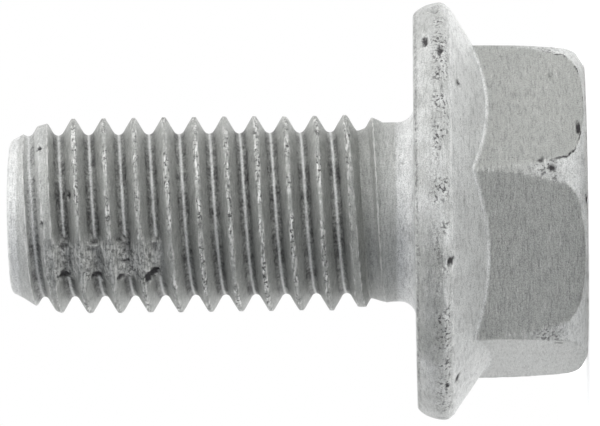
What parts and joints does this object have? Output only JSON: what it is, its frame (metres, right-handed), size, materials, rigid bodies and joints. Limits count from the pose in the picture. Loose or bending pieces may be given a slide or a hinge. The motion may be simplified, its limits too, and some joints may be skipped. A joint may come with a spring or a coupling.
{
  "type": "flange bolt",
  "caption": "Hexagon flange bolt with an integral round flange, a short plain neck and a coarse right-hand thread to a rounded point, dull grey zinc coat.",
  "frame": {"origin": "centre of the flange's flat bearing face", "axes": "+Z along the shank from the bearing face to the point, one corner of the hexagon towards +X"},
  "size_m": [0.0208, 0.0208, 0.0287],
  "materials": {
    "zinc_coat": "dull light grey zinc coat, finely grained"
  },
  "bodies": {
    "root": {"flange_bolt": "zinc_coat"}
  },
  "joints": []
}
